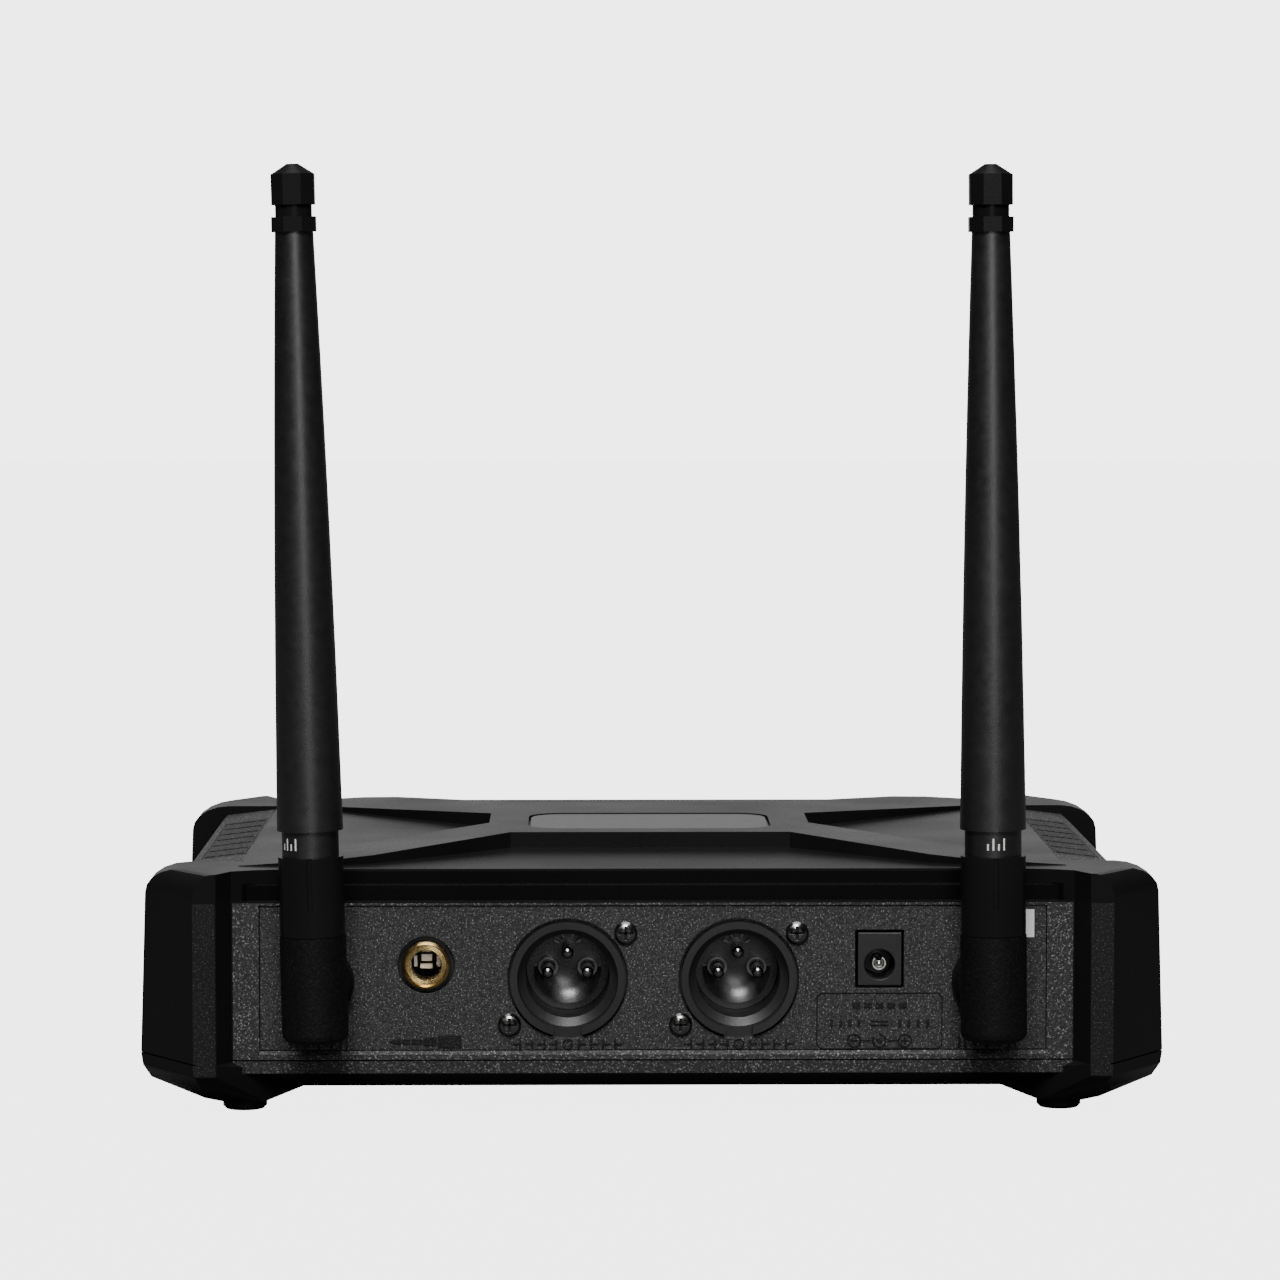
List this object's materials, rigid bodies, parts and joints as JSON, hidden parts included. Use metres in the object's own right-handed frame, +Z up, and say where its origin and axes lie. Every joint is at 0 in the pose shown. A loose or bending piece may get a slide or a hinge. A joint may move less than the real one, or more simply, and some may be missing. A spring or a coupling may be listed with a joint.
{
  "type": "wireless microphone receiver",
  "caption": "Half-rack wireless microphone receiver: a low two-part housing with corner bumpers, swivelling rear aerials, balanced and mix outputs and front volume knobs.",
  "frame": {"origin": "on the table, midway across the housing and midway between the knob faces and the rear of the aerials", "axes": "+Z up, +Y out of the rear panel, -Y out of the front panel, +X to the left of the rear panel"},
  "size_m": [0.2134, 0.1898, 0.1957],
  "materials": {
    "satin_shell": "satin",
    "textured_plastic": "fine grain",
    "whip_rubber": "matte",
    "foot_rubber": "matte",
    "knob_plastic": "satin",
    "socket_plastic": "satin",
    "nickel": "bright nickel",
    "zinc": "zinc plated",
    "brass": "turned",
    "black_steel": "blackened",
    "smoked_window": "gloss",
    "dark_glass": "gloss",
    "infrared_lens": "gloss",
    "lamp_green": "gloss",
    "circuit_board": "solder mask",
    "cable_grey": "matte",
    "cable_black": "matte",
    "chip_black": "matte",
    "capacitor_blue": "gloss sleeve",
    "badge_grey": "satin silver",
    "label_white": "paper"
  },
  "bodies": {
    "housing": {"top_shell": "satin_shell", "bottom_shell": "satin_shell", "vent_strips": "textured_plastic", "rear_panel": "textured_plastic", "front_panel": "textured_plastic", "display_window": "smoked_window", "display_module": "dark_glass", "infrared_window": "infrared_lens", "power_switch": "socket_plastic", "status_leds": "lamp_green", "volume_pot_a": "zinc", "volume_pot_b": "zinc", "pot_nuts": "nickel", "main_board": "circuit_board", "front_board": "circuit_board", "ribbon_cable": "cable_grey", "rf_shield_a": "nickel", "rf_shield_b": "nickel", "logic_chips": "chip_black", "capacitors": "capacitor_blue", "xlr_shell_a": "socket_plastic", "xlr_shell_b": "socket_plastic", "xlr_insert_a": "socket_plastic", "xlr_insert_b": "socket_plastic", "xlr_pins_a": "nickel", "xlr_pins_b": "nickel", "xlr_screws": "nickel", "jack_bushing": "brass", "jack_body": "socket_plastic", "jack_springs": "nickel", "dc_socket": "socket_plastic", "dc_pin": "nickel", "aerial_collar_a": "textured_plastic", "aerial_collar_b": "textured_plastic", "collar_nuts": "nickel", "coax_lead_a": "cable_black", "coax_lead_b": "cable_black", "foot_1": "foot_rubber", "foot_2": "foot_rubber", "foot_3": "foot_rubber", "foot_4": "foot_rubber", "case_screws": "black_steel", "board_screws": "nickel", "lid_badge": "badge_grey", "serial_sticker": "label_white"},
    "aerial_a": {"aerial_elbow_a": "textured_plastic", "aerial_clip_a": "nickel", "aerial_sleeve_a": "satin_shell", "aerial_whip_a": "whip_rubber", "aerial_tip_a": "satin_shell"},
    "aerial_b": {"aerial_elbow_b": "textured_plastic", "aerial_clip_b": "nickel", "aerial_sleeve_b": "satin_shell", "aerial_whip_b": "whip_rubber", "aerial_tip_b": "satin_shell"},
    "knob_a": {"volume_knob_a": "knob_plastic", "volume_shaft_a": "nickel"},
    "knob_b": {"volume_knob_b": "knob_plastic", "volume_shaft_b": "nickel"},
    "button": {"power_button": "knob_plastic"}
  },
  "joints": [
    {"name": "aerial_a_swivel", "type": "hinge", "parent": "housing", "child": "aerial_a", "pos_m": [-0.069, 0.0882, 0.0284], "axis": [0, -1, 0], "range_deg": [-19.5, 90.5]},
    {"name": "aerial_b_swivel", "type": "hinge", "parent": "housing", "child": "aerial_b", "pos_m": [0.069, 0.0882, 0.0284], "axis": [0, 1, 0], "range_deg": [-21.2, 88.8]},
    {"name": "volume_a_turn", "type": "hinge", "parent": "housing", "child": "knob_a", "pos_m": [-0.052, -0.08, 0.029], "axis": [0, 1, 0], "range_deg": [-150, 150]},
    {"name": "volume_b_turn", "type": "hinge", "parent": "housing", "child": "knob_b", "pos_m": [0.052, -0.08, 0.029], "axis": [0, 1, 0], "range_deg": [-150, 150]},
    {"name": "power_press", "type": "slide", "parent": "housing", "child": "button", "axis": [0, 1, 0], "range_m": [0, 0.0015], "stiffness_N_per_m": 500}
  ]
}
